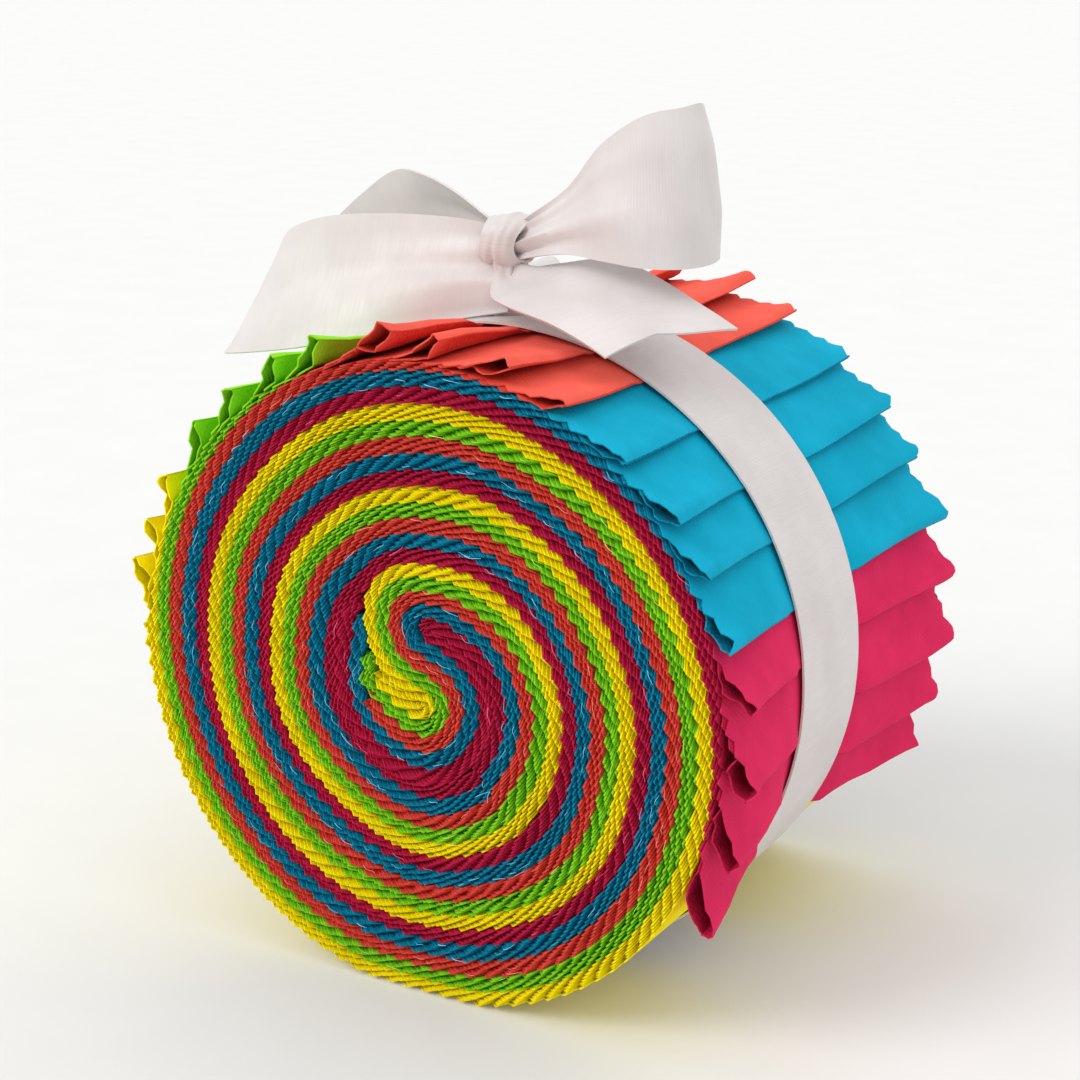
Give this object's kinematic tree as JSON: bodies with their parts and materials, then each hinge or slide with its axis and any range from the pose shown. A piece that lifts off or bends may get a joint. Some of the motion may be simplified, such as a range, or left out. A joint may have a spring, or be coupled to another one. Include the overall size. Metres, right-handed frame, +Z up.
{
  "type": "jelly roll of fabric strips with ribbon bow",
  "caption": "Cylindrical roll of folded, pinked cotton strips wound in one spiral, lying on its curved side and tied round with a satin ribbon and a bow.",
  "frame": {"origin": "on the surface that the roll lies on, under the middle of the whole piece's box", "axes": "+Z up; +Y along the roll's axis, from the front face to the back face; +X to the right, seen from the front face"},
  "size_m": [0.0868, 0.0636, 0.1051],
  "materials": {
    "cotton_strips": "matte plain-weave quilting cotton in yellow, lime green, coral, turquoise and hot pink, pinked edges",
    "satin_ribbon": "smooth white satin ribbon, bare"
  },
  "bodies": {
    "root": {"roll": "cotton_strips", "ribbon_band": "satin_ribbon", "bow_knot": "satin_ribbon", "bow_loop_left": "satin_ribbon", "bow_loop_right": "satin_ribbon", "bow_tail_front": "satin_ribbon", "bow_tail_back": "satin_ribbon"}
  },
  "joints": []
}
